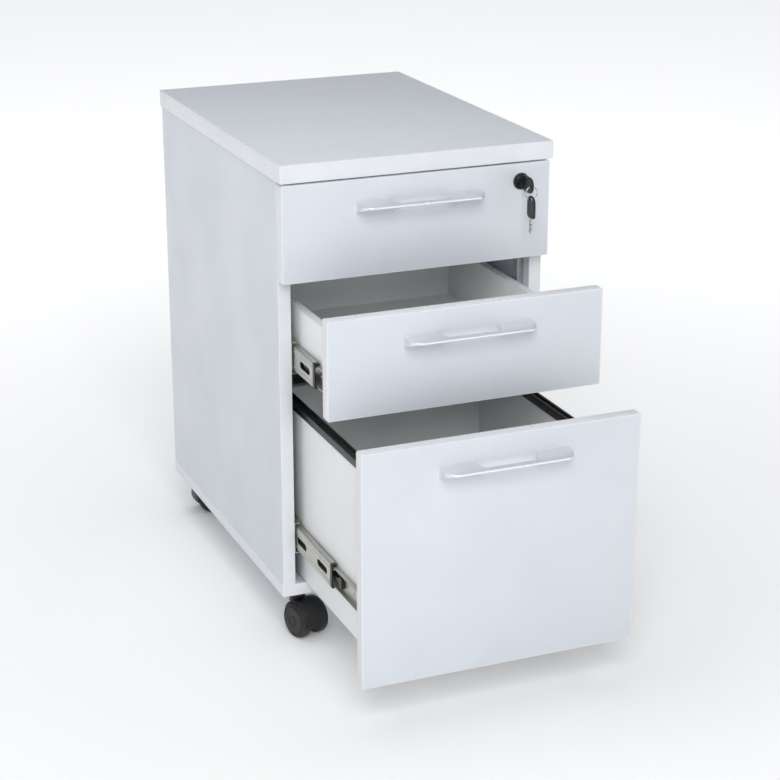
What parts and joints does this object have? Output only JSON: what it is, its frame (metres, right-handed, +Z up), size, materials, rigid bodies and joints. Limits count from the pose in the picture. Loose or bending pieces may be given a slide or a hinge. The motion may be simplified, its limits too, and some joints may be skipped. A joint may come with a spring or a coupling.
{
  "type": "rolling pedestal cabinet",
  "caption": "White rolling office pedestal with two shallow drawers above a deep filing drawer, a cylinder lock with keys and twin-wheel casters.",
  "frame": {"origin": "on the floor, under the middle of the object's own box as stored, with the middle and filing drawers drawn out", "axes": "+X to the right along the drawer fronts, +Y to the back of the cabinet, +Z up"},
  "size_m": [0.396, 0.847, 0.69],
  "materials": {
    "white_board": "satin",
    "white_edging": "satin",
    "satin_metal": "satin",
    "zinc_steel": "satin",
    "nickel": "polished",
    "black_plastic": "satin"
  },
  "bodies": {
    "carcass": {"top_panel": "white_board", "top_edging": "white_edging", "left_side_panel": "white_board", "right_side_panel": "white_board", "bottom_panel": "white_board", "carcass_edging": "white_edging", "back_panel": "white_board", "panel_connectors": "zinc_steel", "cabinet_rails": "zinc_steel", "rail_screws": "zinc_steel", "lock_bar_guides": "black_plastic", "caster_plates": "zinc_steel", "caster_screws": "zinc_steel"},
    "lock_bar": {"lock_bar": "zinc_steel"},
    "drawer_1": {"drawer_1_front": "white_board", "drawer_1_edging": "white_edging", "drawer_1_frame": "white_board", "drawer_1_bottom": "white_board", "drawer_1_handle": "satin_metal", "drawer_1_screws": "zinc_steel", "drawer_1_rails": "zinc_steel", "drawer_1_catch": "zinc_steel", "lock_housing": "black_plastic"},
    "slides_1": {"middle_rails_1": "zinc_steel"},
    "drawer_2": {"drawer_2_front": "white_board", "drawer_2_edging": "white_edging", "drawer_2_frame": "white_board", "drawer_2_bottom": "white_board", "drawer_2_handle": "satin_metal", "drawer_2_screws": "zinc_steel", "drawer_2_rails": "zinc_steel", "drawer_2_catch": "zinc_steel"},
    "slides_2": {"middle_rails_2": "zinc_steel"},
    "drawer_3": {"drawer_3_front": "white_board", "drawer_3_edging": "white_edging", "drawer_3_frame": "white_board", "drawer_3_bottom": "white_board", "drawer_3_handle": "satin_metal", "drawer_3_screws": "zinc_steel", "drawer_3_rails": "zinc_steel", "drawer_3_catch": "zinc_steel", "file_rails": "black_plastic"},
    "slides_3": {"middle_rails_3": "zinc_steel"},
    "lock_plug": {"lock_plug": "black_plastic", "lock_cam": "nickel", "key": "black_plastic"},
    "key_ring": {"key_ring": "nickel"},
    "spare_key": {"spare_key": "black_plastic"},
    "caster_fl": {"caster_housing_fl": "black_plastic"},
    "wheels_fl": {"caster_wheels_fl": "black_plastic", "caster_axle_fl": "zinc_steel"},
    "caster_fr": {"caster_housing_fr": "black_plastic"},
    "wheels_fr": {"caster_wheels_fr": "black_plastic", "caster_axle_fr": "zinc_steel"},
    "caster_bl": {"caster_housing_bl": "black_plastic"},
    "wheels_bl": {"caster_wheels_bl": "black_plastic", "caster_axle_bl": "zinc_steel"},
    "caster_br": {"caster_housing_br": "black_plastic"},
    "wheels_br": {"caster_wheels_br": "black_plastic", "caster_axle_br": "zinc_steel"}
  },
  "joints": [
    {"name": "drawer_1_slide", "type": "slide", "parent": "carcass", "child": "drawer_1", "axis": [0, -1, 0], "range_m": [0, 0.4]},
    {"name": "slides_1_travel", "type": "slide", "parent": "carcass", "child": "slides_1", "axis": [0, -1, 0], "range_m": [0, 0.2]},
    {"name": "drawer_2_slide", "type": "slide", "parent": "carcass", "child": "drawer_2", "axis": [0, -1, 0], "range_m": [-0.163, 0.237]},
    {"name": "slides_2_travel", "type": "slide", "parent": "carcass", "child": "slides_2", "axis": [0, -1, 0], "range_m": [-0.0815, 0.1185]},
    {"name": "drawer_3_slide", "type": "slide", "parent": "carcass", "child": "drawer_3", "axis": [0, -1, 0], "range_m": [-0.277, 0.123]},
    {"name": "slides_3_travel", "type": "slide", "parent": "carcass", "child": "slides_3", "axis": [0, -1, 0], "range_m": [-0.1385, 0.0615]},
    {"name": "key_turn", "type": "hinge", "parent": "drawer_1", "child": "lock_plug", "pos_m": [0.1513, -0.1185, 0.637], "axis": [0, 1, 0], "range_deg": [0, 90]},
    {"name": "lock_bar_travel", "type": "slide", "parent": "carcass", "child": "lock_bar", "axis": [0, 0, 1], "range_m": [-0.008, 0]},
    {"name": "ring_swing", "type": "hinge", "parent": "lock_plug", "child": "key_ring", "pos_m": [0.1513, -0.1519, 0.636], "axis": [0, 1, 0], "range_deg": [-45, 45]},
    {"name": "spare_key_swing", "type": "hinge", "parent": "key_ring", "child": "spare_key", "pos_m": [0.1513, -0.1519, 0.6192], "axis": [0, 1, 0], "range_deg": [-25, 25]},
    {"name": "caster_fl_swivel", "type": "hinge", "parent": "carcass", "child": "caster_fl", "pos_m": [-0.165, -0.0715, 0.06], "axis": [0, 0, 1], "continuous": true},
    {"name": "wheels_fl_roll", "type": "hinge", "parent": "caster_fl", "child": "wheels_fl", "pos_m": [-0.15949, -0.09073, 0.026], "axis": [0.9613, 0.2756, 0], "continuous": true},
    {"name": "caster_fr_swivel", "type": "hinge", "parent": "carcass", "child": "caster_fr", "pos_m": [0.165, -0.0715, 0.06], "axis": [0, 0, 1], "continuous": true},
    {"name": "wheels_fr_roll", "type": "hinge", "parent": "caster_fr", "child": "wheels_fr", "pos_m": [0.16016, -0.09091, 0.026], "axis": [0.9703, -0.2419, 0], "continuous": true},
    {"name": "caster_bl_swivel", "type": "hinge", "parent": "carcass", "child": "caster_bl", "pos_m": [-0.165, 0.3965, 0.06], "axis": [0, 0, 1], "continuous": true},
    {"name": "wheels_bl_roll", "type": "hinge", "parent": "caster_bl", "child": "wheels_bl", "pos_m": [-0.145, 0.3965, 0.026], "axis": [0, 1, 0], "continuous": true},
    {"name": "caster_br_swivel", "type": "hinge", "parent": "carcass", "child": "caster_br", "pos_m": [0.165, 0.3965, 0.06], "axis": [0, 0, 1], "continuous": true},
    {"name": "wheels_br_roll", "type": "hinge", "parent": "caster_br", "child": "wheels_br", "pos_m": [0.14598, 0.39032, 0.026], "axis": [0.309, -0.9511, 0], "continuous": true}
  ],
  "couplings": [
    {"joint": "slides_1_travel", "follows": "drawer_1_slide", "ratio": 0.5},
    {"joint": "slides_2_travel", "follows": "drawer_2_slide", "ratio": 0.5},
    {"joint": "slides_3_travel", "follows": "drawer_3_slide", "ratio": 0.5},
    {"joint": "key_turn", "follows": "lock_bar_travel", "rad_per_m": -196.35}
  ]
}
